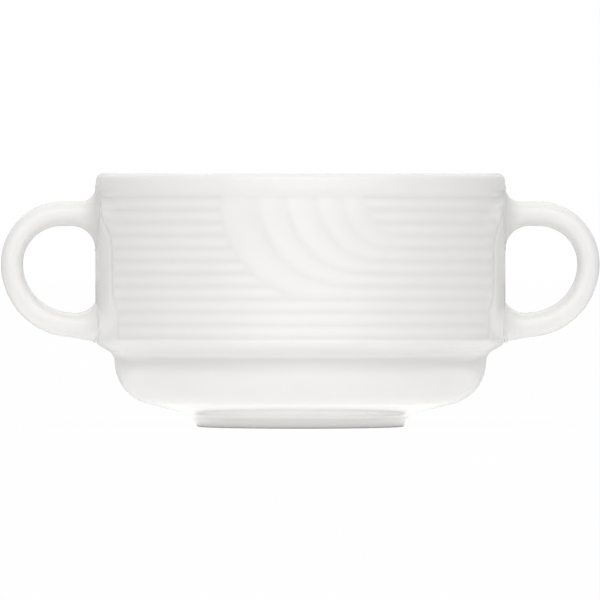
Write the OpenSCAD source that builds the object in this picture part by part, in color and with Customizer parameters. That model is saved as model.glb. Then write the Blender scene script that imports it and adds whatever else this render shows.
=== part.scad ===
// Two-handled bouillon cup of glazed porcelain, made to be stacked.
// The origin is the centre of the foot ring's standing face, +Z is up, the
// handles lie along X and the fan relief faces -Y, with its twin facing +Y.

/* [Body] */
// Height from the table to the top of the rim
cup_h = 62; // [58:0.5:68]
// Outer diameter of the upper wall
wall_d = 100.4; // [96:0.2:105]
// Thickness of the upper wall
wall_t = 3.9; // [3.5:0.1:4.5]
// Radius of the rim's two rounded edges
rim_edge_r = 1.6; // [0.8:0.1:1.7]

/* [Lower bowl] */
// Height of the shoulder's outer edge above the table, before it is rounded
shoulder_h = 20.4; // [19.8:0.2:22]
// Fall of the shoulder's underside from the wall in to the lower bowl, in degrees
shoulder_fall = 24; // [12:1:28]
// Radius of the rounded edge between the upper wall and the shoulder
shoulder_edge_r = 1.4; // [1:0.1:1.7]
// Width of the shoulder, from the wall's outside in to the lower bowl
shoulder_w = 4.6; // [4.3:0.1:6]
// Radius of the hollow corner under the shoulder
shoulder_hollow_r = 3.2; // [1.5:0.1:3.6]
// Lean of the lower bowl's side from upright, in degrees
bowl_lean = 3.2; // [1:0.2:5]
// Radius of the lower bowl's outer corner, as far as its side has room for it
bowl_corner_r = 12; // [8:0.1:12]
// Rise of the underside from the foot outwards, in degrees
underside_rise = 14; // [11:0.5:15]
// Wall thickness of the lower bowl, measured level
bowl_t = 4.2; // [3.6:0.1:4.8]
// Thickness of the floor inside the foot ring
floor_t = 4.6; // [4:0.1:5.4]

/* [Foot ring] */
// Outer diameter of the foot ring's standing face, before its edges are rounded
foot_d = 50.6; // [46:0.2:54]
// Width of the foot ring at the table
foot_w = 2.8; // [2.4:0.1:3.4]
// Height of the foot ring's outer side
foot_h = 2.9; // [2.4:0.1:3.3]
// Depth of the recess inside the foot ring
foot_recess = 2.3; // [1.6:0.1:2.6]
// Radius of the foot ring's rounded edges
foot_edge_r = 0.6; // [0.3:0.1:0.8]

/* [Reeding] */
// Number of grooves round the wall
groove_count = 12; // [11:1:12]
// Distance from one groove to the next
groove_pitch = 3.08; // [2.9:0.02:3.14]
// Distance from the rim down to the first groove
first_groove_drop = 5.8; // [5.4:0.1:6]
// Width of a groove at the wall's surface
groove_w = 1.9; // [1.4:0.1:2.2]
// Depth of a groove
groove_depth = 0.35; // [0.2:0.05:0.5]

/* [Fan relief] */
// Number of nested quarter arcs, the outermost one ending in groove fan_low_groove
fan_arcs = 6; // [3:1:7]
// The groove that the outermost arc runs into, counted from the rim
fan_low_groove = 9; // [8:1:10]
// Angle from the front at which the outermost arc begins, in degrees
fan_start = -25.5; // [-30:0.5:-20]
// Angle from the outermost arc's beginning to that of the innermost, in degrees
fan_spread = 42; // [36:0.5:48]
// Width of an arc's groove
fan_groove_w = 0.9; // [0.6:0.1:1.4]

/* [Handles] */
// Distance over both handles
handle_span = 146.6; // [142:0.2:152]
// Thickness of the handle at its widest point, seen from the front
tip_t = 5.4; // [4.8:0.1:6]
// Thickness of the handle near its ends, seen from the front
end_t = 6; // [5.4:0.1:6.4]
// Width of the handle from front to back
handle_w = 10.6; // [9:0.1:12]
// Distance from the rim down to the middle of the upper end
upper_end_drop = 9.9; // [9.5:0.1:10.5]
// Distance from the rim down to the handle's widest point
tip_drop = 22.1; // [21:0.1:23.5]
// Height of the middle of the lower end above the shoulder's outer edge
lower_end_rise = 3.9; // [3.8:0.1:4.6]
// Slope of the lower bar down to the wall, in degrees
lower_slope = 6; // [3:0.5:9]
// Radius of the hollow fillet above the upper end
outer_fillet_r = 3.6; // [2.5:0.1:4]
// Radius of the hollow fillets inside the loop, at both ends
inner_fillet_r = 5.8; // [4:0.1:6.2]
// Radius of the hollow fillets beside both ends
side_fillet_r = 3.6; // [2:0.1:3.9]
// Thickness of the slip layer between a handle and the wall
slip_t = 0.35; // [0.2:0.05:0.6]

/* [Smooth pads] */
// Half the width of the ungrooved pad behind a handle's finger gap
pad_half_w = 18.4; // [15:0.1:21]
// Half the width of the ungrooved wall beside a handle's lower end
low_pad_half_w = 21.6; // [19:0.1:24]
// Half the width of the ungrooved wall under a handle's upper end
high_pad_half_w = 9.4; // [8:0.1:12]
// Radius of the pad's upper corners
pad_corner_r = 7; // [4:0.1:8]
// Depth of the pads below the crests of the reeding
pad_sink = 0.1; // [0.05:0.05:0.2]

/* [Hidden] */
$fn = 96;
mm = 1;
// Steps in which a rounded corner of the section is drawn
corner_steps = 10;
// Length by which a cutting shape passes the surface that it cuts
overrun = 2 * mm;
glaze = "whitesmoke";
slip = "linen";

wall_r = wall_d / 2;
bore_r = wall_r - wall_t;
bowl_r = wall_r - shoulder_w;
bowl_bore_r = bowl_r - bowl_t;
foot_r = foot_d / 2;
floor_z = foot_recess + floor_t;
// The foot ring's outer side leans out by this share of its height
foot_flare_share = 0.45;
foot_neck = [foot_r + foot_h * foot_flare_share, foot_h];
foot_neck_r = 3.8 * mm;
// The shoulder's underside meets the lower bowl at this height
hollow_z = shoulder_h - shoulder_w * tan(shoulder_fall);
// The bowl's underside runs from the foot's neck to where it would meet the bowl's leaning side
underside_run = (bowl_r - foot_neck.x - (hollow_z - foot_h) * tan(bowl_lean))
    / (1 - tan(underside_rise) * tan(bowl_lean));
bowl_corner = foot_neck + underside_run * [1, tan(underside_rise)];
// The hollow corner above leaves this length of the side free
bowl_side_room = (hollow_z - bowl_corner.y) / cos(bowl_lean)
    - shoulder_hollow_r / tan((90 + shoulder_fall + bowl_lean) / 2);
bowl_edge_r = min(bowl_corner_r, bowl_side_room * tan((90 + underside_rise + bowl_lean) / 2));
// The ledge inside lies one wall thickness above the middle of the shoulder's underside
ledge_z = (shoulder_h + hollow_z) / 2 + wall_t;
ledge_w = bore_r - bowl_bore_r;
ledge_hollow_share = 0.5;
ledge_edge_share = 0.4;
bowl_bore_corner_r = bowl_edge_r - 1 * mm;
// The floor is flat out to this share of the foot ring's radius
floor_flat_share = 0.6;
floor_flat_r = foot_r * floor_flat_share;
// From there it rises at this share of the underside's slope
floor_rise_share = 0.5;
floor_corner = [bowl_bore_r - (ledge_z - floor_z) * tan(bowl_lean),
    floor_z + (bowl_bore_r - floor_flat_r) * tan(underside_rise) * floor_rise_share];

first_groove_z = cup_h - first_groove_drop;
// A ring of this radius, sunk by the groove's depth, leaves a groove of its width
groove_cutter_r = (groove_w * groove_w / 4 + groove_depth * groove_depth) / (2 * groove_depth);
// The arcs are sunk to this share of the level grooves' depth
fan_depth_share = 0.65;
// A level groove begins this far before the end of the arc that runs into it
arc_overlap = 0.5 * mm;
// Where each arc begins, from the outermost to the innermost, as shares of the fan's spread
fan_start_shares = [0, 0.26, 0.455, 0.655, 0.83, 1];
// The pad lies just under this groove, and its wider foot begins at the other one
pad_top_groove = 3;
low_pad_groove = 10;
// The pads are sunk this far beyond the ends of the grooves
pad_overlap = 0.2 * mm;
// The slip and the handles sit on the pads
seat_r = wall_r - pad_sink;

upper_end_z = cup_h - upper_end_drop;
lower_end_z = shoulder_h + lower_end_rise;
tip_z = cup_h - tip_drop;
tip_r = (handle_span - tip_t) / 2;
upper_bend_r = upper_end_z - tip_z;
lower_bend_r = (tip_z - lower_end_z - (tip_r - wall_r) * tan(lower_slope))
    * cos(lower_slope) / (1 - sin(lower_slope));
// Sides of the handle's cross-section, and how full it is between an oval's 1 and a square's 0
ring_sides = 24;
// Sides of the round faces that a handle and its slip layer are trimmed to
seat_sides = 360;
section_power = 0.8;
bend_steps = 9;
// Distances from the wall, as shares of the inner fillet, at which the ends' rings lie
root_shares = [-0.3, 0, 0.04, 0.1, 0.2, 0.35, 0.6, 1];
upper_root = [for (share = root_shares) upper_bar_at(share)];
upper_bend = [for (i = [0:bend_steps]) let (a = 90 - 90 * i / bend_steps)
    [tip_r - upper_bend_r * (1 - cos(a)), tip_z + upper_bend_r * sin(a), a]];
lower_bend = [for (i = [1:bend_steps]) let (a = (lower_slope - 90) * i / bend_steps)
    [tip_r - lower_bend_r * (1 - cos(a)), tip_z + lower_bend_r * sin(a), a]];
lower_root = [for (i = [len(root_shares) - 1:-1:0]) lower_bar_at(root_shares[i])];

// Height of groove number k, counted from 1 at the rim
function groove_z(k) = first_groove_z - (k - 1) * groove_pitch;
// The groove that arc number i runs into
function arc_groove(i) = fan_low_groove - i;
function arc_r(i) = (arc_groove(i) - 1) * groove_pitch;
// Share of the spread at which arc number i begins, for any number of arcs
function arc_share(i) = lookup(i / (fan_arcs - 1), [for (j = [0:len(fan_start_shares) - 1])
    [j / (len(fan_start_shares) - 1), fan_start_shares[j]]]);
// Across the front, where arc number i begins and where its centre lies
function arc_left_x(i) = wall_r * sin(fan_start + fan_spread * arc_share(i));
function arc_centre_x(i) = arc_left_x(i) + arc_r(i);
// Across the front, where arc number i is at the height of groove k
function arc_x(i, k) = arc_centre_x(i) - sqrt(max(0, pow(arc_r(i), 2) - pow(arc_drop(k), 2)));
function arc_drop(k) = first_groove_z - groove_z(k);
// Groove k stays open on the front from the outermost arc to this place
function gap_end_x(k) = k > arc_groove(fan_arcs - 1)
    ? arc_centre_x(fan_low_groove - k) - arc_overlap
    : arc_x(fan_arcs - 1, k);

// Points of an outline whose corners are [x, y, radius]
function rounded(corners) = [for (i = [0:len(corners) - 1]) each corner_points(
    corners[(i + len(corners) - 1) % len(corners)],
    corners[i],
    corners[(i + 1) % len(corners)])];
function flat(corner) = [corner[0], corner[1]];
function unit(v) = v / norm(v);
function corner_points(before, corner, after) = corner[2] == 0
    ? [flat(corner)]
    : let (
        u = unit(flat(before) - flat(corner)),
        v = unit(flat(after) - flat(corner)),
        half = acos(u * v) / 2,
        centre = flat(corner) + unit(u + v) * corner[2] / sin(half),
        start = flat(corner) + u * corner[2] / tan(half) - centre,
        turn = (180 - 2 * half) * sign(u.y * v.x - u.x * v.y)
    ) [for (s = [0:corner_steps]) centre + turned(start, turn * s / corner_steps)];
function turned(v, a) = [v.x * cos(a) - v.y * sin(a), v.x * sin(a) + v.y * cos(a)];

// Half section of the body, from the foot outwards, up the wall and down the inside
module body_section() {
    polygon(rounded([
        [0, foot_recess, 0],
        [foot_r - foot_w, foot_recess, foot_edge_r],
        [foot_r - foot_w, 0, foot_edge_r],
        [foot_r, 0, foot_edge_r],
        [foot_neck.x, foot_neck.y, foot_neck_r],
        [bowl_corner.x, bowl_corner.y, bowl_edge_r],
        [bowl_r, hollow_z, shoulder_hollow_r],
        [wall_r, shoulder_h, shoulder_edge_r],
        [wall_r, cup_h, rim_edge_r],
        [bore_r, cup_h, rim_edge_r],
        [bore_r, ledge_z, ledge_w * ledge_hollow_share],
        [bowl_bore_r, ledge_z, ledge_w * ledge_edge_share],
        [floor_corner.x, floor_corner.y, bowl_bore_corner_r],
        [floor_flat_r, floor_z, 0],
        [0, floor_z, 0],
    ]));
}

// Ring that cuts groove k all the way round
module groove_ring(k) {
    rotate_extrude()
        translate([wall_r + groove_cutter_r - groove_depth, groove_z(k)])
            circle(groove_cutter_r);
}

// Space in front of groove k where the fan takes its place
module fan_gap(k) {
    translate([arc_x(0, k), -wall_r - overrun, groove_z(k) - groove_pitch / 2])
        cube([gap_end_x(k) - arc_x(0, k), wall_r, groove_pitch]);
}

// Outline of the ungrooved pad, seen along the handles and grown all round
module pad_outline(growth) {
    low_z = shoulder_h;
    half_w = pad_half_w + growth;
    corner_r = pad_corner_r + growth;
    low_half_w = low_pad_half_w + growth;
    high_half_w = high_pad_half_w + growth;
    pad_top = groove_z(pad_top_groove) - groove_pitch / 2 + growth;
    low_pad_top = groove_z(low_pad_groove) + groove_pitch / 2 + growth;
    translate([-half_w, low_z])
        square([2 * half_w, pad_top - corner_r - low_z]);
    translate([-half_w + corner_r, low_z])
        square([2 * (half_w - corner_r), pad_top - low_z]);
    for (side = [-1, 1])
        translate([side * (half_w - corner_r), pad_top - corner_r])
            circle(corner_r);
    translate([-low_half_w, low_z])
        square([2 * low_half_w, low_pad_top - low_z]);
    translate([-high_half_w, low_z])
        square([2 * high_half_w, first_groove_z + groove_pitch + growth - low_z]);
}

// Space over both pads
module pad_space(growth) {
    for (side = [0, 180])
        rotate([0, 0, side])
            translate([wall_r / 2, 0, 0])
                rotate([90, 0, 90])
                    linear_extrude(wall_r)
                        pad_outline(growth);
}

// Thin layer that is taken off the wall to make the pads
module pad_layers() {
    intersection() {
        pad_space(pad_overlap);
        difference() {
            cylinder(r = wall_r + overrun, h = cup_h);
            translate([0, 0, -overrun])
                cylinder(r = seat_r, h = cup_h + 2 * overrun);
        }
    }
}

// All the level grooves, which stop at the pads and make room for the fans
module grooves() {
    for (k = [1:groove_count])
        difference() {
            groove_ring(k);
            pad_space(0);
            if (k > 1 && k < fan_low_groove)
                for (turn = [0, 180])
                    rotate([0, 0, turn])
                        fan_gap(k);
        }
}

// Quarter ring of arc number i, seen from the front
module arc_outline(i) {
    intersection() {
        difference() {
            circle(arc_r(i) + fan_groove_w / 2);
            circle(arc_r(i) - fan_groove_w / 2);
        }
        translate([-arc_r(i) - overrun, -arc_r(i) - overrun])
            square([arc_r(i) + overrun, arc_r(i) + overrun]);
    }
}

// The arcs' grooves, each one sunk to the same depth below the wall's surface
module fan_grooves() {
    intersection() {
        for (i = [0:fan_arcs - 1])
            translate([arc_centre_x(i), 0, first_groove_z])
                rotate([90, 0, 0])
                    linear_extrude(wall_r + overrun)
                        arc_outline(i);
        translate([0, 0, shoulder_h])
            difference() {
                cylinder(r = wall_r + overrun, h = cup_h);
                translate([0, 0, -overrun])
                    cylinder(r = wall_r - groove_depth * fan_depth_share, h = cup_h + 2 * overrun);
            }
    }
}

module body() {
    color(glaze)
        difference() {
            rotate_extrude()
                body_section();
            grooves();
            pad_layers();
            for (turn = [0, 180])
                rotate([0, 0, turn])
                    fan_grooves();
        }
}

// Growth of a hollow fillet of radius r at the distance d from the wall
function flare(d, r) = r - sqrt(r * r - pow(max(0, min(r, r - d)), 2));
// Place, by a share of an end's fillet, on the straight bar outside the wall
function upper_bar_at(share) = [wall_r + share * inner_fillet_r, upper_end_z, 90];
function lower_bar_at(share) = [
    wall_r + share * inner_fillet_r,
    lower_end_z + share * inner_fillet_r * tan(lower_slope),
    lower_slope - 90];
// Rounded square profile of a unit circle's cosine or sine
function fuller(c) = sign(c) * pow(abs(c), section_power);

// Ring of points round the middle line at the place [x, z, angle of the outward side]
function handle_ring(place) = let (
    d = place.x - wall_r,
    t = tip_t + (end_t - tip_t) * pow(sin(place[2]), 2),
    inner = t / 2 + flare(d, inner_fillet_r),
    outer = t / 2 + (place.y > tip_z ? flare(d, outer_fillet_r) : 0),
    half_w = handle_w / 2 + flare(d, side_fillet_r)
) [for (a = [0:ring_sides - 1]) let (
    c = fuller(cos(360 * a / ring_sides)),
    off = c * (c > 0 ? outer : inner)
) [
    place.x + off * cos(place[2]),
    half_w * fuller(sin(360 * a / ring_sides)),
    place.y + off * sin(place[2])
]];

// Closed solid through a row of rings
module swept(places) {
    last = len(places) - 1;
    polyhedron(
        points = [for (place = places) each handle_ring(place)],
        faces = [
            [for (a = [0:ring_sides - 1]) a],
            [for (a = [ring_sides - 1:-1:0]) last * ring_sides + a],
            for (i = [0:last - 1], a = [0:ring_sides - 1]) let (
                here = i * ring_sides,
                next = (a + 1) % ring_sides
            ) each [
                [here + a, here + ring_sides + a, here + next],
                [here + next, here + ring_sides + a, here + ring_sides + next]
            ]
        ]);
}

// Handle without the layer of slip under its ends
module handle() {
    color(glaze)
        difference() {
            swept(concat(upper_root, upper_bend, lower_bend, lower_root));
            cylinder(r = seat_r + slip_t, h = cup_h, $fn = seat_sides);
        }
}

// Layer of slip that fills the joint between one end of a handle and its pad
module slip_joint(root) {
    color(slip)
        intersection() {
            swept(root);
            difference() {
                cylinder(r = seat_r + slip_t, h = cup_h, $fn = seat_sides);
                translate([0, 0, -overrun])
                    cylinder(r = seat_r, h = cup_h + 2 * overrun, $fn = seat_sides);
            }
        }
}

module handle_right() {
    handle();
}

module handle_left() {
    rotate([0, 0, 180])
        handle();
}

module upper_right_slip_joint() {
    slip_joint(upper_root);
}

module lower_right_slip_joint() {
    slip_joint(lower_root);
}

module upper_left_slip_joint() {
    rotate([0, 0, 180])
        slip_joint(upper_root);
}

module lower_left_slip_joint() {
    rotate([0, 0, 180])
        slip_joint(lower_root);
}

body();
handle_left();
handle_right();
upper_left_slip_joint();
lower_left_slip_joint();
upper_right_slip_joint();
lower_right_slip_joint();
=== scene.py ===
# %% [markdown]
# # A stackable bouillon cup in glazed porcelain
# The cup is one jiggered body with a foot ring, and two cast handles stuck on with slip.
# The frame, which is the measured CAD model, is loaded first, and every piece here is made
# in its metres and in its place. What the CAD already says, such as the wall's radius and
# the rim's height, is read from the frame, so that the looks can't drift away from it.

# %% Load the frame
import math

import bpy
import numpy as np
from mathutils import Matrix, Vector


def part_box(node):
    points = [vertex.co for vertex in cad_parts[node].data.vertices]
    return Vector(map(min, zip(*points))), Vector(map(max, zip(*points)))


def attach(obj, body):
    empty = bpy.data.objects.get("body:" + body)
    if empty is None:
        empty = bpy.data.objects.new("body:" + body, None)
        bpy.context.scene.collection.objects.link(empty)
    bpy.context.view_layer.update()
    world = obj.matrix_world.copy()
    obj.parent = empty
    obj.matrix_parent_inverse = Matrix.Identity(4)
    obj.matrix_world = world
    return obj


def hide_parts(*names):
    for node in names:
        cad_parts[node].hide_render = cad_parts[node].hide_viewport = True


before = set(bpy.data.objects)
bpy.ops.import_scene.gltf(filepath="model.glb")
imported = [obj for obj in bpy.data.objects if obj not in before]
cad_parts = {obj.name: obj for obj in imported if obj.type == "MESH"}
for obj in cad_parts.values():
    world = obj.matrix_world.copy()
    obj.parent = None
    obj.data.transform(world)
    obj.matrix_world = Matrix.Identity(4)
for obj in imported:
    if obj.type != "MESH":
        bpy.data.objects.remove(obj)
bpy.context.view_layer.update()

# %% [markdown]
# Lengths are typed in millimetres, as a potter would say them, and one factor turns them
# into Blender's metres when a mesh is made. Angles are in degrees from the front of the cup.

# %% Units and sizes that the frame gives
MM = 0.001
body_low, body_high = (np.array(corner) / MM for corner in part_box("body"))
wall_r = (body_high[0] - body_low[0]) / 2
cup_h = body_high[2]
tip_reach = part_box("handle_right")[1][0] / MM
print(f"wall radius {wall_r:.1f} mm, height {cup_h:.1f} mm, handle tip at {tip_reach:.1f} mm")

# %% [markdown]
# Colours are written as sRGB hex, the numbers that a colour picker shows. Blender mixes
# light in linear values, so one function turns the hex into those.

# %% Colour and node helpers
def linear(hex_colour):
    """Blender's linear colour, with an alpha of 1, of an sRGB hex colour."""
    channels = (int(hex_colour[i:i + 2], 16) / 255 for i in (1, 3, 5))
    return tuple(c / 12.92 if c <= 0.04045 else ((c + 0.055) / 1.055) ** 2.4
                 for c in channels) + (1.0,)


WHITE = linear("#FFFFFF")


def add_node(tree, kind, settings=None, *plugs, **named_plugs):
    """Add a node, set its properties, and link or set its inputs in order and by name."""
    node = tree.nodes.new(kind)
    for name, value in (settings or {}).items():
        setattr(node, name, value)
    sockets = list(zip(node.inputs, plugs))
    sockets += [(node.inputs[name.replace("_", " ")], v) for name, v in named_plugs.items()]
    for socket, value in sockets:
        if isinstance(value, bpy.types.NodeSocket):
            tree.links.new(value, socket)
        else:
            socket.default_value = value
    return node


def share_of_points(piece, name, shares):
    """Give each point of a piece a share that a material can read."""
    piece.data.attributes.new(name, "FLOAT", "POINT").data.foreach_set("value", shares)


def mesh_piece(name, points_mm, faces, nodes, slot, *materials):
    """Make a smooth-shaded piece from points in millimetres and put it in the frame."""
    mesh = bpy.data.meshes.new(name)
    mesh.from_pydata([tuple(p) for p in np.asarray(points_mm) * MM], [], faces)
    mesh.polygons.foreach_set("use_smooth", [True] * len(mesh.polygons))
    for material in materials:
        mesh.materials.append(material)
    piece = bpy.data.objects.new(name, mesh)
    bpy.context.scene.collection.objects.link(piece)
    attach(piece, "root")
    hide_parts(*nodes)
    print(f"{name}: {len(mesh.vertices)} points, {len(mesh.polygons)} faces")
    return piece


print(f"sRGB #808080 is {linear('#808080')[0]:.3f} of white in linear light")

# %% [markdown]
# The camera stands in front, level with the rim, a long way back, so the rim shows as a flat
# line and the foot sags a little. A long lens frames the two handles from edge to edge. The
# photographed cup is turned a touch, its left handle towards the camera, so here the camera
# stands that much further to the left.

# %% Camera
CAMERA_DISTANCE = 3.0
CAMERA_TURN = -1.9
SEEN_WIDTH = 0.1469
SENSOR_WIDTH_MM = 36
SEEN_AS_FAR_AS = 20
AIM_X = -0.0001

camera_data = bpy.data.cameras.new("camera")
camera_data.sensor_width = SENSOR_WIDTH_MM
camera_data.lens = camera_data.sensor_width * CAMERA_DISTANCE / SEEN_WIDTH
camera_data.clip_end = SEEN_AS_FAR_AS
camera = bpy.data.objects.new("camera", camera_data)
bpy.context.scene.collection.objects.link(camera)
bpy.context.scene.camera = camera
aim = Vector((AIM_X, 0, cup_h * MM / 2))
turn = math.radians(CAMERA_TURN)
camera.location = (
    aim.x + CAMERA_DISTANCE * math.sin(turn), -CAMERA_DISTANCE * math.cos(turn), cup_h * MM)
camera.rotation_euler = (aim - camera.location).to_track_quat("-Z", "Y").to_euler()
print(f"lens {camera_data.lens:.0f} mm at {CAMERA_DISTANCE} m")

# %% [markdown]
# Hard-paste porcelain is fired to a dense, faintly translucent white body, and its clear
# feldspar glaze is a layer of glass on top. Principled holds both: the base is the soft white
# body, and the coat is the glaze, which gives the sharp reflections. A very low, broad bump
# stands for the way a glaze flows, and a little colour noise for its uneven thickness. A point
# of a mesh can also carry a share of a greyer colour, which is painted shade: a little in the
# grooves, where it also stands for thicker glaze, and more under the shoulder, on the foot and
# in the corners of the handles' ends.

# %% Glazed porcelain
GLAZE_WHITE = "#F3F2F0"
GLAZE_THICK = "#F0EFED"
# the greyer colour is painted shade, in the grooves partly thicker glaze too
GLAZE_POOL_AND_SHADE = "#D9D8D6"
POOL_AND_SHADE_SHARE = "pooled_glaze_and_painted_shade_share"
GLAZE_IOR = 1.5
FLOW_SIZE_MM = 9.0
FLOW_DEPTH_MM = 0.02
FLOW_DETAIL = 3.0
FLOW_ROUGHNESS = 0.45
SCATTER = 1.0
SCATTER_MM = 0.6
SCATTER_OF_COLOURS = (1.0, 0.95, 0.9)
COAT_ROUGHNESS = 0.04


def porcelain(name, white, thick, pool_and_shade, coat, roughness):
    """A white ceramic body, with coat as the share of it that the glaze covers, darkened
    towards pool_and_shade by each point's share of painted shade.
    """
    material = bpy.data.materials.new(name)
    material.use_nodes = True
    tree = material.node_tree
    shader = tree.nodes["Principled BSDF"]
    place = add_node(tree, "ShaderNodeNewGeometry").outputs["Position"]
    cloud = add_node(tree, "ShaderNodeTexNoise", Vector=place,
                     Scale=1 / (FLOW_SIZE_MM * MM), Detail=FLOW_DETAIL,
                     Roughness=FLOW_ROUGHNESS)
    # each point's share of painted shade greys the glaze here
    hollows = add_node(tree, "ShaderNodeAttribute", {"attribute_name": POOL_AND_SHADE_SHARE})
    tone = add_node(tree, "ShaderNodeMixRGB", None, cloud.outputs["Fac"],
                    linear(white), linear(thick))
    tone = add_node(tree, "ShaderNodeMixRGB", None, hollows.outputs["Fac"],
                    tone.outputs["Color"], linear(pool_and_shade))
    tree.links.new(tone.outputs["Color"], shader.inputs["Base Color"])
    shader.inputs["Roughness"].default_value = roughness
    shader.inputs["IOR"].default_value = GLAZE_IOR
    shader.inputs["Subsurface Weight"].default_value = SCATTER
    shader.inputs["Subsurface Radius"].default_value = SCATTER_OF_COLOURS
    shader.inputs["Subsurface Scale"].default_value = SCATTER_MM * MM
    shader.inputs["Coat Weight"].default_value = coat
    shader.inputs["Coat Roughness"].default_value = COAT_ROUGHNESS
    shader.inputs["Coat IOR"].default_value = GLAZE_IOR
    if coat:
        flow = add_node(tree, "ShaderNodeBump", Height=cloud.outputs["Fac"],
                        Distance=FLOW_DEPTH_MM * MM, Strength=1.0)
        tree.links.new(flow.outputs["Normal"], shader.inputs["Coat Normal"])
    return material


glaze = porcelain("glazed_hard_porcelain", GLAZE_WHITE, GLAZE_THICK, GLAZE_POOL_AND_SHADE,
                  coat=1.0, roughness=0.4)
print("material:", glaze.name)

# %% [markdown]
# A foot ring is wiped clean of glaze so that it doesn't stick to the kiln shelf. What shows
# there is bare porcelain, polished smooth but dull, and a shade warmer than the glaze. Over
# the slip at the handles' ends the glaze is thick all round, so it is a little greyer.

# %% Bare and slip-pooled porcelain
# the last colour is painted shade, laid on the foot's outer edge by the points' share
bare = porcelain("bare_polished_porcelain", "#E6E3DC", "#DFDBD3", "#DFDBD3",
                 coat=0.0, roughness=0.55)
pooled_glaze = porcelain("glaze_pooled_over_slip", "#ECEBE9", "#E6E5E3", "#E6E5E3",
                         coat=1.0, roughness=0.35)
print("materials:", bare.name, pooled_glaze.name)

# %% [markdown]
# The body is turned in a plaster mould, so one half section describes all of it but its
# relief. Its corners are listed from the middle of the foot outwards, up the wall and down
# the inside, each with its own radius, and a helper rounds them.

# %% Rounded outlines
CORNER_STEPS = 16


def rounded(corners):
    """Points of an open outline whose corners are (x, z, radius)."""
    flat = [np.array(c[:2], float) for c in corners]
    points = []
    for i, corner in enumerate(flat):
        radius = corners[i][2]
        if radius == 0:
            points.append(corner)
            continue
        back, ahead = (v / np.linalg.norm(v)
                       for v in (flat[i - 1] - corner, flat[i + 1] - corner))
        half = math.acos(np.clip(back @ ahead, -1, 1)) / 2
        middle = back + ahead
        centre = corner + middle / np.linalg.norm(middle) * radius / math.sin(half)
        start = corner + back * radius / math.tan(half) - centre
        side = 1 if back[1] * ahead[0] - back[0] * ahead[1] > 0 else -1
        for s in range(CORNER_STEPS + 1):
            a = side * (math.pi - 2 * half) * s / CORNER_STEPS
            points.append(centre + (start[0] * math.cos(a) - start[1] * math.sin(a),
                                    start[0] * math.sin(a) + start[1] * math.cos(a)))
    return points


square_corner = rounded([(0, 0, 0), (10, 0, 2), (10, 10, 0)])
print("points that round one corner:", len(square_corner) - 2)

# %% [markdown]
# The outside's sizes are measured in the photograph, and the inside follows the outside at
# the wall's thickness, with a ledge behind the shoulder. The wall is left out here, because
# it carries the relief.

# %% Half section of the body
WALL_T = 3.9
SHOULDER_H = 20.4
SHOULDER_W = 4.6
SHOULDER_FALL = 30
SHOULDER_EDGE_R = 2.3
SHOULDER_HOLLOW_R = 3.2
RIM_TURN_H = 3.2
RIM_TURN_IN = 0.3
RIM_TURN_R = 16.0
RIM_EDGE_R = 1.8
RIM_INNER_R = 1.6
FOOT_R = 25.3
FOOT_W = 2.8
FOOT_H = 2.9
FOOT_RECESS = 2.3
FOOT_RECESS_R = 0.9
FOOT_EDGE_R = 0.6
FOOT_NECK_OUT = 1.3
FOOT_NECK_R = 2.8
UNDERSIDE_RISE = 14
BOWL_LEAN = 3.2
BOWL_CORNER_R = 10.8
BOWL_BORE_CORNER_R = 11.0
BOWL_T = 4.2
LEDGE_CORNER_R = 2.45
LEDGE_EDGE_R = 1.96
FLOOR_Z = 6.9
FLOOR_FLAT_SHARE = 0.6
FLOOR_RISE_SHARE = 0.5

bowl_r = wall_r - SHOULDER_W
bore_r = wall_r - WALL_T
bowl_bore_r = bowl_r - BOWL_T
rise, lean, fall = (math.tan(math.radians(a))
                    for a in (UNDERSIDE_RISE, BOWL_LEAN, SHOULDER_FALL))
hollow_z = SHOULDER_H - SHOULDER_W * fall
ledge_z = (SHOULDER_H + hollow_z) / 2 + WALL_T
neck_r = FOOT_R + FOOT_NECK_OUT
run = (bowl_r - neck_r - (hollow_z - FOOT_H) * lean) / (1 - rise * lean)
floor_flat_r = FOOT_R * FLOOR_FLAT_SHARE
floor_side_r = bowl_bore_r - (ledge_z - FLOOR_Z) * lean
floor_side_z = FLOOR_Z + (bowl_bore_r - floor_flat_r) * rise * FLOOR_RISE_SHARE

below_wall = rounded([
    (0, FOOT_RECESS, 0), (FOOT_R - FOOT_W, FOOT_RECESS, FOOT_RECESS_R),
    (FOOT_R - FOOT_W, 0, FOOT_EDGE_R), (FOOT_R, 0, FOOT_EDGE_R),
    (neck_r, FOOT_H, FOOT_NECK_R), (neck_r + run, FOOT_H + run * rise, BOWL_CORNER_R),
    (bowl_r, hollow_z, SHOULDER_HOLLOW_R), (wall_r, SHOULDER_H, SHOULDER_EDGE_R),
    (wall_r, cup_h, 0)])[:-1]
above_wall = rounded([
    (wall_r, SHOULDER_H, 0), (wall_r, cup_h - RIM_TURN_H, RIM_TURN_R),
    (wall_r - RIM_TURN_IN, cup_h, RIM_EDGE_R), (bore_r, cup_h, RIM_INNER_R),
    (bore_r, ledge_z, LEDGE_CORNER_R), (bowl_bore_r, ledge_z, LEDGE_EDGE_R),
    (floor_side_r, floor_side_z, BOWL_BORE_CORNER_R),
    (floor_flat_r, FLOOR_Z, 0), (0, FLOOR_Z, 0)])[1:]
wall_low_z, wall_high_z = below_wall[-1][1], above_wall[0][1]
print(f"plain wall from {wall_low_z:.1f} to {wall_high_z:.1f} mm")

# %% [markdown]
# The relief is carved in the plaster mould: level reeding, and a fan of nested quarter arcs
# that starts at the top line and runs out into the reeds. It could be a bump map, but then
# the outline and the grazing light would miss it, so the wall is a fine grid whose points
# are moved in and out. Each groove is a line on the unrolled wall, and the height of a point
# depends on how far it is from the lines on both sides of it.

# %% Reeding
GROOVES = 12
PITCH = 3.08
FIRST_GROOVE_DROP = 5.85
RELIEF_DEPTH = 0.16
CREST_POWER = 1.3

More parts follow.
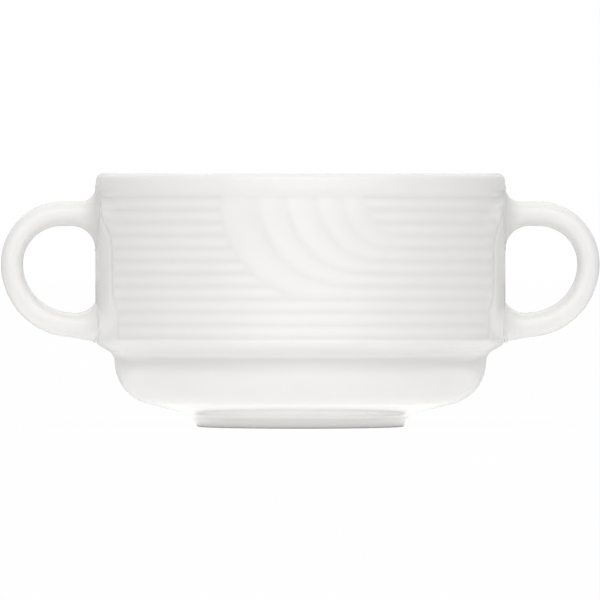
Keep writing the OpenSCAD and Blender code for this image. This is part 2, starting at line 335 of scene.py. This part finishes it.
first_groove_z = cup_h - FIRST_GROOVE_DROP
last_groove_z = first_groove_z - (GROOVES - 1) * PITCH
half_reed = PITCH / 2


def smooth_step(x):
    """A smooth curve from 0 at 0 to 1 at 1, and level outside them."""
    t = np.clip(x, 0, 1)
    return t * t * (3 - 2 * t)


def dome(distance, width):
    """Height share of a round crest, from 0 on a groove's line to 1 at width from it."""
    return np.sin(np.clip(distance / width, 0, 1) * math.pi / 2) ** CREST_POWER


def reeds(z):
    """Height share of the level reeding, with the plain bands above and below it."""
    steps = np.clip((first_groove_z - z) / PITCH, 0, GROOVES - 1)
    line = first_groove_z - np.round(steps) * PITCH
    return dome(np.abs(z - line), half_reed)


def shallower(height, share):
    """A groove's height share when the groove is only share as deep as the reeding's."""
    return 1 - share * (1 - height)


print(f"grooves from {first_groove_z:.1f} down to {last_groove_z:.1f} mm")

# %% [markdown]
# In the fan a point lies between two neighbouring arcs. There the wall rises from the outer
# arc as a reed does, and falls to the inner arc over what is left between them. The arcs are
# shallower than the grooves, and each one deepens where it runs into its groove. Above the
# fan the first groove is only a faint line.

# %% Fan of nested arcs
FAN_LOW_GROOVE = 9
FAN_START_DEG = (-24.9, -14.3, -6.3, 2.1, 9.4, 16.3)
FAN_DEPTH_SHARE = 0.5
FAN_TOP_SHARE = 0.2
FAN_EASE = 6.0
LEAST_WIDTH = 1e-6

arcs = []
for i, start in enumerate(FAN_START_DEG):
    arc_r = (FAN_LOW_GROOVE - 1 - i) * PITCH
    left = math.radians(start) * wall_r
    arcs.append((left + arc_r, arc_r))


def inside_arc(s, z, arc):
    """Distance from an arc and the groove it runs into, positive above and right of it."""
    centre, radius = arc
    return np.where(s < centre, radius - np.hypot(s - centre, z - first_groove_z),
                    z - first_groove_z + radius)


def fan(s, z):
    """Height share of reeding and fan together, at s mm round the wall from the front."""
    depth = [inside_arc(s, z, arc) for arc in arcs]
    eased = [FAN_DEPTH_SHARE + (1 - FAN_DEPTH_SHARE)
             * smooth_step((s - centre + FAN_EASE) / (2 * FAN_EASE)) for centre, _ in arcs]
    fan_left, fan_right = (arcs[i][0] - arcs[i][1] for i in (0, -1))
    in_fan = smooth_step((s - fan_left) / half_reed) * smooth_step((fan_right - s) / half_reed)
    top_line = shallower(dome(np.abs(first_groove_z - z), half_reed),
                         1 - (1 - FAN_TOP_SHARE) * in_fan)
    height = np.minimum(reeds(z), shallower(dome(-depth[0], half_reed), eased[0]))
    for i in range(len(arcs) - 1):
        outer, inner = depth[i], depth[i + 1]
        width = np.maximum(outer - inner, LEAST_WIDTH)
        rise_w = np.minimum(half_reed, width / 2)
        band = np.where(outer < rise_w,
                        shallower(dome(outer, rise_w), eased[i]),
                        shallower(dome(-inner, width - rise_w), eased[i + 1]))
        band = np.minimum(band, top_line)
        height = np.where((outer > 0) & (inner <= 0), band, height)
    core = np.minimum(reeds(z), shallower(dome(depth[-1], half_reed), eased[-1]))
    height = np.where(depth[-1] > 0, core, height)
    return np.where(z > first_groove_z, top_line, height)


print("arc radii, mm:", [round(r, 1) for _, r in arcs])

# %% [markdown]
# Behind each handle the mould leaves a smooth pad, so that the handle's ends and the slip
# sit on plain clay. The pad is three rounded boxes that flow into each other: the tall one
# behind the finger gap, a wider one at the lower end and a narrow one under the upper end.

# %% Smooth pads behind the handles
PAD_BOXES = (  # half width, bottom, top, corner radius
    (18.8, 10.0, 49.6, 7.0),
    (22.4, 10.0, 29.0, 2.0),
    (9.6, 10.0, 59.0, 4.0),
)
PAD_BLEND = 6.0
PAD_EDGE_W = 1.3
PAD_EDGE_DEPTH = 0.22
FAR_AWAY = 1e3


def outside_pad(across, z):
    """Distance from the pad's outline, negative on the pad."""
    result = np.full_like(z, FAR_AWAY)
    for half_w, bottom, top, corner in PAD_BOXES:
        over = np.abs(across) - half_w + corner
        up = np.abs(z - (top + bottom) / 2) - (top - bottom) / 2 + corner
        box = (np.hypot(np.maximum(over, 0), np.maximum(up, 0))
               + np.minimum(np.maximum(over, up), 0) - corner)
        blend = np.maximum(PAD_BLEND - np.abs(result - box), 0)
        result = np.minimum(result, box) - blend ** 2 / (4 * PAD_BLEND)
    return result


def relief(angle, z):
    """How far the wall's surface lies inside its crests, in mm, at an angle from the front."""
    local = (angle + 90) % 180 - 90
    s = np.radians(local) * wall_r
    pad = outside_pad(np.radians(90 - np.abs(local)) * wall_r, z)
    plain = np.maximum(smooth_step((last_groove_z - z) / half_reed),
                       smooth_step((z - first_groove_z) / half_reed))
    ends = np.maximum(dome(np.abs(pad), half_reed), plain)
    edge = np.maximum(dome(np.abs(pad), PAD_EDGE_W), plain)
    height = np.where(pad > 0, np.minimum(fan(s, z), ends), ends)
    return np.maximum(RELIEF_DEPTH * (1 - height), PAD_EDGE_DEPTH * (1 - edge))


print("tops of the pad's boxes, mm:", [top for _, _, top, _ in PAD_BOXES])

# %% [markdown]
# The rim's plain band is not a straight cylinder: it swells a little between the rim and the
# first groove, which turns its upper half towards the light. The glaze then rounds whatever
# the mould left sharp, which a few passes of averaging over the grid do here.

# %% Body mesh
BAND_SWELL = 0.08
SWELL_FADE_MM = 3
PAD_EDGE_DEG = 62
FAN_EDGE_DEG = 32
FINE_MM = 0.36
COARSE_MM = 1.5
ROW_MM = 0.26
GLAZE_PASSES = 2
# share of painted shade, partly thicker glaze too, at a groove's bottom
GROOVE_POOL_AND_SHADE = 0.29

column_spans = (
    (-90, -PAD_EDGE_DEG, FINE_MM),
    (-PAD_EDGE_DEG, -FAN_EDGE_DEG, COARSE_MM),
    (-FAN_EDGE_DEG, FAN_EDGE_DEG, FINE_MM),
    (FAN_EDGE_DEG, PAD_EDGE_DEG, COARSE_MM),
    (PAD_EDGE_DEG, 90, FINE_MM),
)
half_turn = []
for start, stop, step in column_spans:
    count = math.ceil(math.radians(stop - start) * wall_r / step)
    half_turn += [start + (stop - start) * i / count for i in range(count)]
columns = np.array(half_turn + [a + 180 for a in half_turn])
rows = np.linspace(wall_low_z, wall_high_z, round((wall_high_z - wall_low_z) / ROW_MM) + 1)

angle_grid, z_grid = np.meshgrid(columns, rows)
sunk = relief(angle_grid, z_grid)
for _ in range(GLAZE_PASSES):
    sunk = (np.roll(sunk, 1, 1) + 2 * sunk + np.roll(sunk, -1, 1)) / 4
    sunk[1:-1] = (sunk[:-2] + 2 * sunk[1:-1] + sunk[2:]) / 4
# painted shade in the grooves, partly thicker glaze, as deep as each point is sunk
groove_pool_and_shade = GROOVE_POOL_AND_SHADE * np.clip(sunk / RELIEF_DEPTH, 0, 1)
band_middle = (first_groove_z + cup_h) / 2
band = (z_grid - band_middle) / (cup_h - band_middle)
fade = smooth_step(1 - (first_groove_z - z_grid) / SWELL_FADE_MM)
sunk += BAND_SWELL * np.where(z_grid > first_groove_z, band ** 2, fade)

rings = [(np.full(len(columns), r), z) for r, z in below_wall[1:-1]]
rings += [(wall_r - sunk[i], rows[i]) for i in range(len(rows))]
rim_shift = sunk[-1]
rings += [(r - rim_shift * np.clip((r - bore_r) / WALL_T, 0, 1), z)
          for r, z in above_wall[1:-1]]
sines, cosines = np.sin(np.radians(columns)), np.cos(np.radians(columns))
points = [(0, 0, below_wall[0][1])]
for radii, z in rings:
    points += list(zip(radii * sines, -radii * cosines, [z] * len(columns)))
points.append((0, 0, above_wall[-1][1]))

n = len(columns)
faces = [(0, 1 + (i + 1) % n, 1 + i) for i in range(n)]
for ring in range(len(rings) - 1):
    here = 1 + ring * n
    faces += [(here + i, here + (i + 1) % n, here + n + (i + 1) % n, here + n + i)
              for i in range(n)]
last = 1 + (len(rings) - 1) * n
faces += [(last + i, last + (i + 1) % n, len(points) - 1) for i in range(n)]
body = mesh_piece("jiggered_cup_body", points, faces, ["body"], "glazed_porcelain",
                  glaze, bare)

# %% [markdown]
# The hollow under the shoulder and the foot's outer side get a share of painted shade too,
# on the foot darker towards the bottom. Heights are in millimetres.

# %% Shares of painted shade on the body
# painted shade under the shoulder and on the foot's outer side
HOLLOW_PAINTED_SHADE = 0.55
HOLLOW_SHADE_TOP, HOLLOW_TOP_FADE = 18.0, 1.0
HOLLOW_SHADE_LOW, HOLLOW_LOW_FADE = 12.5, 4
FOOT_PAINTED_SHADE = 0.85
FOOT_PAINTED_SHADE_TOP, FOOT_TOP_FADE = 3.0, 0.8

shares = np.zeros(len(points))
first_on_wall = 1 + (len(below_wall) - 2) * n
shares[first_on_wall:first_on_wall + groove_pool_and_shade.size] = groove_pool_and_shade.ravel()
low = np.array([z for _, z in below_wall[1:-1]])
outside = np.array([r for r, _ in below_wall[1:-1]]) > FOOT_R - FOOT_W / 2
# painted shade: the shoulder's hollow and the lower foot are greyed
under_shoulder = (HOLLOW_PAINTED_SHADE * smooth_step((HOLLOW_SHADE_TOP - low) / HOLLOW_TOP_FADE)
                  * smooth_step((low - HOLLOW_SHADE_LOW) / HOLLOW_LOW_FADE))
on_foot = FOOT_PAINTED_SHADE * outside * smooth_step((FOOT_PAINTED_SHADE_TOP - low) / FOOT_TOP_FADE)
shares[1:first_on_wall] = np.repeat(under_shoulder + on_foot, n)
share_of_points(body, POOL_AND_SHADE_SHARE, shares)
# shares of painted shade, with the grooves' thicker glaze
print(f"pooled glaze: {shares.max():.2f} at most, "
      f"over a tenth at {np.mean(shares > 0.1):.0%} of the points")

# %% [markdown]
# Only the faces that touch the kiln shelf are wiped, so they alone take the bare porcelain.

# %% Bare porcelain under the foot
STANDING_Z = 0.12
bare_faces = 0
for face in body.data.polygons:
    if max(body.data.vertices[v].co.z for v in face.vertices) < STANDING_Z * MM:
        face.material_index = 1
        bare_faces += 1
print("faces of bare porcelain under the foot:", bare_faces)

# %% [markdown]
# A handle is cast in its own two-part mould and cut to fit the wall. Its middle line is
# level where it leaves the wall, bends round a tight upper and a wider lower arc, and comes
# back with a slight fall. Near the wall its places lie closer together, for the fillets.

# %% Middle line of a handle
TIP_T = 5.4
END_T = 6.0
HANDLE_W = 10.6
UPPER_END_DROP = 9.9
TIP_DROP = 22.1
LOWER_END_Z = 24.3
LOWER_SLOPE = 6
OUTER_FILLET_R = 3.6
INNER_FILLET_R = 5.8
SIDE_FILLET_R = 3.6
ROOT_STEPS = 14
ROOT_DEPTH = 1.2
BEND_STEPS = 32

upper_z = cup_h - UPPER_END_DROP
tip_z = cup_h - TIP_DROP
tip_r = tip_reach - TIP_T / 2
upper_bend_r = upper_z - tip_z
slope = math.radians(LOWER_SLOPE)
lower_bend_r = ((tip_z - LOWER_END_Z - (tip_r - wall_r) * math.tan(slope))
                * math.cos(slope) / (1 - math.sin(slope)))


def flare(distance, radius):
    """Growth of a hollow fillet at a distance from the wall."""
    near = max(0.0, min(radius, radius - distance))
    return radius - math.sqrt(radius * radius - near * near)


root_distances = [INNER_FILLET_R * (i / ROOT_STEPS) ** 2 for i in range(ROOT_STEPS + 1)]
root_distances = [-ROOT_DEPTH] + root_distances
upper_root = [(wall_r + d, upper_z, 90.0) for d in root_distances]
lower_root = [(wall_r + d, LOWER_END_Z + d * math.tan(slope), LOWER_SLOPE - 90.0)
              for d in reversed(root_distances)]
bends = []
for radius, angles in ((upper_bend_r, np.linspace(90, 0, BEND_STEPS)),
                       (lower_bend_r, np.linspace(0, LOWER_SLOPE - 90, BEND_STEPS)[1:])):
    for a in angles:
        bends.append((tip_r - radius * (1 - math.cos(math.radians(a))),
                      tip_z + radius * math.sin(math.radians(a)), a))
middle_line = upper_root + bends + lower_root
print(f"handle of {len(middle_line)} rings, "
      f"bends {upper_bend_r:.1f} and {lower_bend_r:.1f} mm")

# %% [markdown]
# Rings of an oval that is a little square are set along the middle line. Near the wall they
# grow into a hollow fillet and take the wall's curve, so the ends fit it exactly. The lower
# end also drops a little, as a heel, to the rounded edge of the shoulder. The corners at the
# wall get painted shade, most of it round the upper end.

# %% Handles
RING_SIDES = 64
SECTION_POWER = 0.8
HEEL_DROP = 0.45
HEEL_LENGTH = 6.5
HEEL_POWER = 1.4
# painted shade in the corners where the handle meets the wall
ROOT_PAINTED_SHADE = 0.7
ROOT_SHADE_MM = 4.0
ROOT_SHADE_POWER = 1.5
HEEL_SHADE_SHARE = 0.2


def fuller(c):
    """A sine or cosine drawn out towards 1, which makes a round section a little square."""
    return math.copysign(abs(c) ** SECTION_POWER, c)


def handle_ring(x, z, a):
    """Points of the handle's section at a place on its middle line, for the +X handle."""
    distance = x - wall_r
    thickness = TIP_T + (END_T - TIP_T) * math.sin(math.radians(a)) ** 2
    inner = thickness / 2 + flare(distance, INNER_FILLET_R)
    heel = HEEL_DROP * (1 - min(1, max(0, distance) / HEEL_LENGTH)) ** HEEL_POWER
    outer = thickness / 2 + (flare(distance, OUTER_FILLET_R) if z > tip_z else heel)
    half_w = HANDLE_W / 2 + flare(distance, SIDE_FILLET_R)
    fit = float(smooth_step(1 - distance / INNER_FILLET_R))
    ring = []
    for i in range(RING_SIDES):
        turn_a = 2 * math.pi * i / RING_SIDES
        c = fuller(math.cos(turn_a))
        off = c * (outer if c > 0 else inner)
        y = half_w * fuller(math.sin(turn_a))
        wall_curve = wall_r - math.sqrt(wall_r ** 2 - y ** 2)
        ring.append((x + off * math.cos(math.radians(a)) - fit * wall_curve, y,
                     z + off * math.sin(math.radians(a))))
    return ring


def tube(ring_list, closed):
    """Faces round a row of rings, with flat ends or joined into a loop."""
    sides, count = len(ring_list[0]), len(ring_list)
    faces = []
    for r in range(count if closed else count - 1):
        here, after = r * sides, (r + 1) % count * sides
        for i in range(sides):
            j = (i + 1) % sides
            faces.append((here + i, after + i, after + j, here + j))
    if not closed:
        faces.append(tuple(range(sides)))
        faces.append(tuple((count - 1) * sides + i for i in reversed(range(sides))))
    return faces


handle_rings = [handle_ring(*place) for place in middle_line]
reach = np.array([x for x, _, _ in middle_line]) - wall_r
# painted shade, strongest at the wall, weaker at the lower end
at_end = np.where([z > tip_z for _, z, _ in middle_line],
                  ROOT_PAINTED_SHADE, ROOT_PAINTED_SHADE * HEEL_SHADE_SHARE)
root_shade_shares = at_end * np.clip(1 - reach / ROOT_SHADE_MM, 0, 1) ** ROOT_SHADE_POWER
for name, side in (("right", 1), ("left", -1)):
    points = [(side * x, side * y, z) for ring in handle_rings for x, y, z in ring]
    handle = mesh_piece(f"cast_handle_{name}", points, tube(handle_rings, False),
                        [f"handle_{name}"], "glazed_porcelain", glaze)
    share_of_points(handle, POOL_AND_SHADE_SHARE, np.repeat(root_shade_shares, RING_SIDES))

# %% [markdown]
# Slip is liquid clay. It is brushed on the handle's ends as glue, a little squeezes out all
# round and is wiped to a soft bead, and the glaze then pools along it. The bead follows the
# end's outline on the wall.

# %% Slip beads
BEAD_R = 0.36
BEAD_IN = 0.2
BEAD_SIDES = 10


def bead_rings(outline):
    """Rings of a thin round bead along a closed outline of points."""
    path = np.array(outline)
    path[:, :2] *= 1 - BEAD_IN / wall_r
    ahead = np.roll(path, -1, 0) - np.roll(path, 1, 0)
    ahead /= np.linalg.norm(ahead, axis=1)[:, None]
    out = path * (1, 1, 0)
    out /= np.linalg.norm(out, axis=1)[:, None]
    side = np.cross(ahead, out)
    return [[tuple(p + BEAD_R * (math.cos(a) * o + math.sin(a) * s))
             for a in np.linspace(0, 2 * math.pi, BEAD_SIDES, endpoint=False)]
            for p, o, s in zip(path, out, side)]


for level, place in (("upper", upper_root[1]), ("lower", lower_root[-2])):
    bead = bead_rings(handle_ring(*place))
    for name, side in (("right", 1), ("left", -1)):
        points = [(side * x, side * y, z) for ring in bead for x, y, z in ring]
        mesh_piece(f"slip_bead_{level}_{name}", points, tube(bead, True),
                   [f"{level}_{name}_slip_joint"], "fired_slip", pooled_glaze)

# %% [markdown]
# The cup stands on a light table inside a white tent. The table is a sheet of matte acrylic
# that is lit from below, so the underside of the bowl is nearly as bright as its wall. The
# camera sees the table as plain white, apart from the soft shadow at the foot.

# %% Light table
TABLE_SIZE = 8.0
TABLE_SHADE = "#BCBCBC"
TABLE_ROUGHNESS = 0.9
TABLE_SHINE = 0.1

bpy.ops.mesh.primitive_plane_add(size=TABLE_SIZE, location=(0, 0, 0))
table = bpy.context.object
table.name = "light_table"
acrylic = bpy.data.materials.new("matte_lit_acrylic")
acrylic.use_nodes = True
tree = acrylic.node_tree
sheet = tree.nodes["Principled BSDF"]
sheet.inputs["Roughness"].default_value = TABLE_ROUGHNESS
sheet.inputs["Specular IOR Level"].default_value = TABLE_SHINE
sheet.inputs["Emission Color"].default_value = WHITE
seen = add_node(tree, "ShaderNodeLightPath").outputs["Is Camera Ray"]
tone = add_node(tree, "ShaderNodeMix", {"data_type": "RGBA"}, seen)
tone.inputs["A"].default_value = linear(TABLE_SHADE)
tone.inputs["B"].default_value = WHITE
tree.links.new(tone.outputs["Result"], sheet.inputs["Base Color"])
table.data.materials.append(acrylic)
print(f"light table {TABLE_SIZE} m wide")

# %% [markdown]
# The lamps under the acrylic make soft round pools of light. Each one is full out to one
# radius and gone by a wider one, and all of them fade out right at the foot. Only the cup
# sees them: for the camera the sheet is blended nearly all the way to plain white.

# %% Light from under the table
WHITEOUT = 0.92
FOOT_SHADE = (0.0245, 0.0275)
TABLE_POOLS = (  # centre, full out to, gone by, in metres, and brightness
    ((0, 0), 0.03, 0.045, 0.19),
    ((0, 0), 0.04, 0.12, 0.29),
    ((0, 0), 0.3, 1.5, 0.22),
    ((0, -0.2), 0.05, 0.15, 0.55),
    ((-0.11, 0), 0.02, 0.06, 0.35),
    ((0.11, 0), 0.02, 0.06, 0.35),
)

place = add_node(tree, "ShaderNodeNewGeometry").outputs["Position"]
pools = 0.0
for centre, full, gone, strength in TABLE_POOLS:
    away = add_node(tree, "ShaderNodeVectorMath", {"operation": "DISTANCE"},
                    place, (*centre, 0.0))
    pool = add_node(tree, "ShaderNodeMapRange", {"interpolation_type": "SMOOTHSTEP"},
                    away.outputs["Value"], full, gone, 1.0, 0.0)
    pools = add_node(tree, "ShaderNodeMath", {"operation": "MULTIPLY_ADD"},
                     pool.outputs["Result"], strength, pools).outputs[0]
from_axis = add_node(tree, "ShaderNodeVectorMath", {"operation": "LENGTH"}, place)
shade = add_node(tree, "ShaderNodeMapRange", {"interpolation_type": "SMOOTHSTEP"},
                 from_axis.outputs["Value"], *FOOT_SHADE, 0.0, 1.0)
pools = add_node(tree, "ShaderNodeMath", {"operation": "MULTIPLY"},
                 shade.outputs["Result"], pools).outputs[0]
unseen = add_node(tree, "ShaderNodeMath", {"operation": "SUBTRACT"}, 1.0, seen)
glow = add_node(tree, "ShaderNodeMath", {"operation": "MULTIPLY"}, unseen.outputs[0], pools)
tree.links.new(glow.outputs[0], sheet.inputs["Emission Strength"])
whiteout = add_node(tree, "ShaderNodeMath", {"operation": "MULTIPLY"}, seen, WHITEOUT)
white = add_node(tree, "ShaderNodeEmission", Color=WHITE, Strength=1.0)
blend = add_node(tree, "ShaderNodeMixShader", None,
                 whiteout.outputs[0], sheet.outputs[0], white.outputs[0])
tree.links.new(blend.outputs[0], tree.nodes["Material Output"].inputs["Surface"])
print("pools of light under the table:", len(TABLE_POOLS))

# %% [markdown]
# The tent is the world. Its cloth gives a faint even light, and each lamp outside it makes a
# soft round glow on it, given here by a direction, how tight the glow is, and how bright.
# There are no hard edges, so the glaze mirrors none either. The camera sees plain white.

# %% Light tent
TENT_LIGHT = 0.05
TENT_GLOWS = (  # from, tightness, brightness
    ((0, -1, 0.15), 3.0, 0.95),
    ((0, -1, 0.8), 4.0, 0.76),
    ((0, 0, 1), 2.0, 0.57),
    ((-1, -0.3, 0.1), 3.0, 0.5),
    ((1, -0.3, 0.1), 3.0, 0.38),
    ((0, 1, 0.2), 3.0, 0.39),
    ((0, 1, 1), 4.0, 0.49),
    ((-1, 0.7, 0.1), 3.0, 0.32),
    ((1, 0.7, 0.1), 3.0, 0.32),
)

world = bpy.data.worlds.new("light_tent")
bpy.context.scene.world = world
world.use_nodes = True
tree = world.node_tree
towards = add_node(tree, "ShaderNodeTexCoord").outputs["Generated"]
brightness = TENT_LIGHT
for place, tightness, strength in TENT_GLOWS:
    facing = add_node(tree, "ShaderNodeVectorMath", {"operation": "DOT_PRODUCT"},
                      towards, Vector(place).normalized())
    lit = add_node(tree, "ShaderNodeMath", {"operation": "MAXIMUM"},
                   facing.outputs["Value"], 0.0)
    glow = add_node(tree, "ShaderNodeMath", {"operation": "POWER"}, lit.outputs[0], tightness)
    brightness = add_node(tree, "ShaderNodeMath", {"operation": "MULTIPLY_ADD"},
                          glow.outputs[0], strength, brightness).outputs[0]
cloth = add_node(tree, "ShaderNodeBackground", Color=WHITE, Strength=brightness)
seen = add_node(tree, "ShaderNodeLightPath").outputs["Is Camera Ray"]
white = add_node(tree, "ShaderNodeBackground", Color=WHITE, Strength=1.0)
blend = add_node(tree, "ShaderNodeMixShader", None, seen, cloth.outputs[0], white.outputs[0])
tree.links.new(blend.outputs[0], tree.nodes["World Output"].inputs["Surface"])

bpy.context.scene.view_settings.view_transform = "Standard"
print("glows on the tent:", len(TENT_GLOWS))
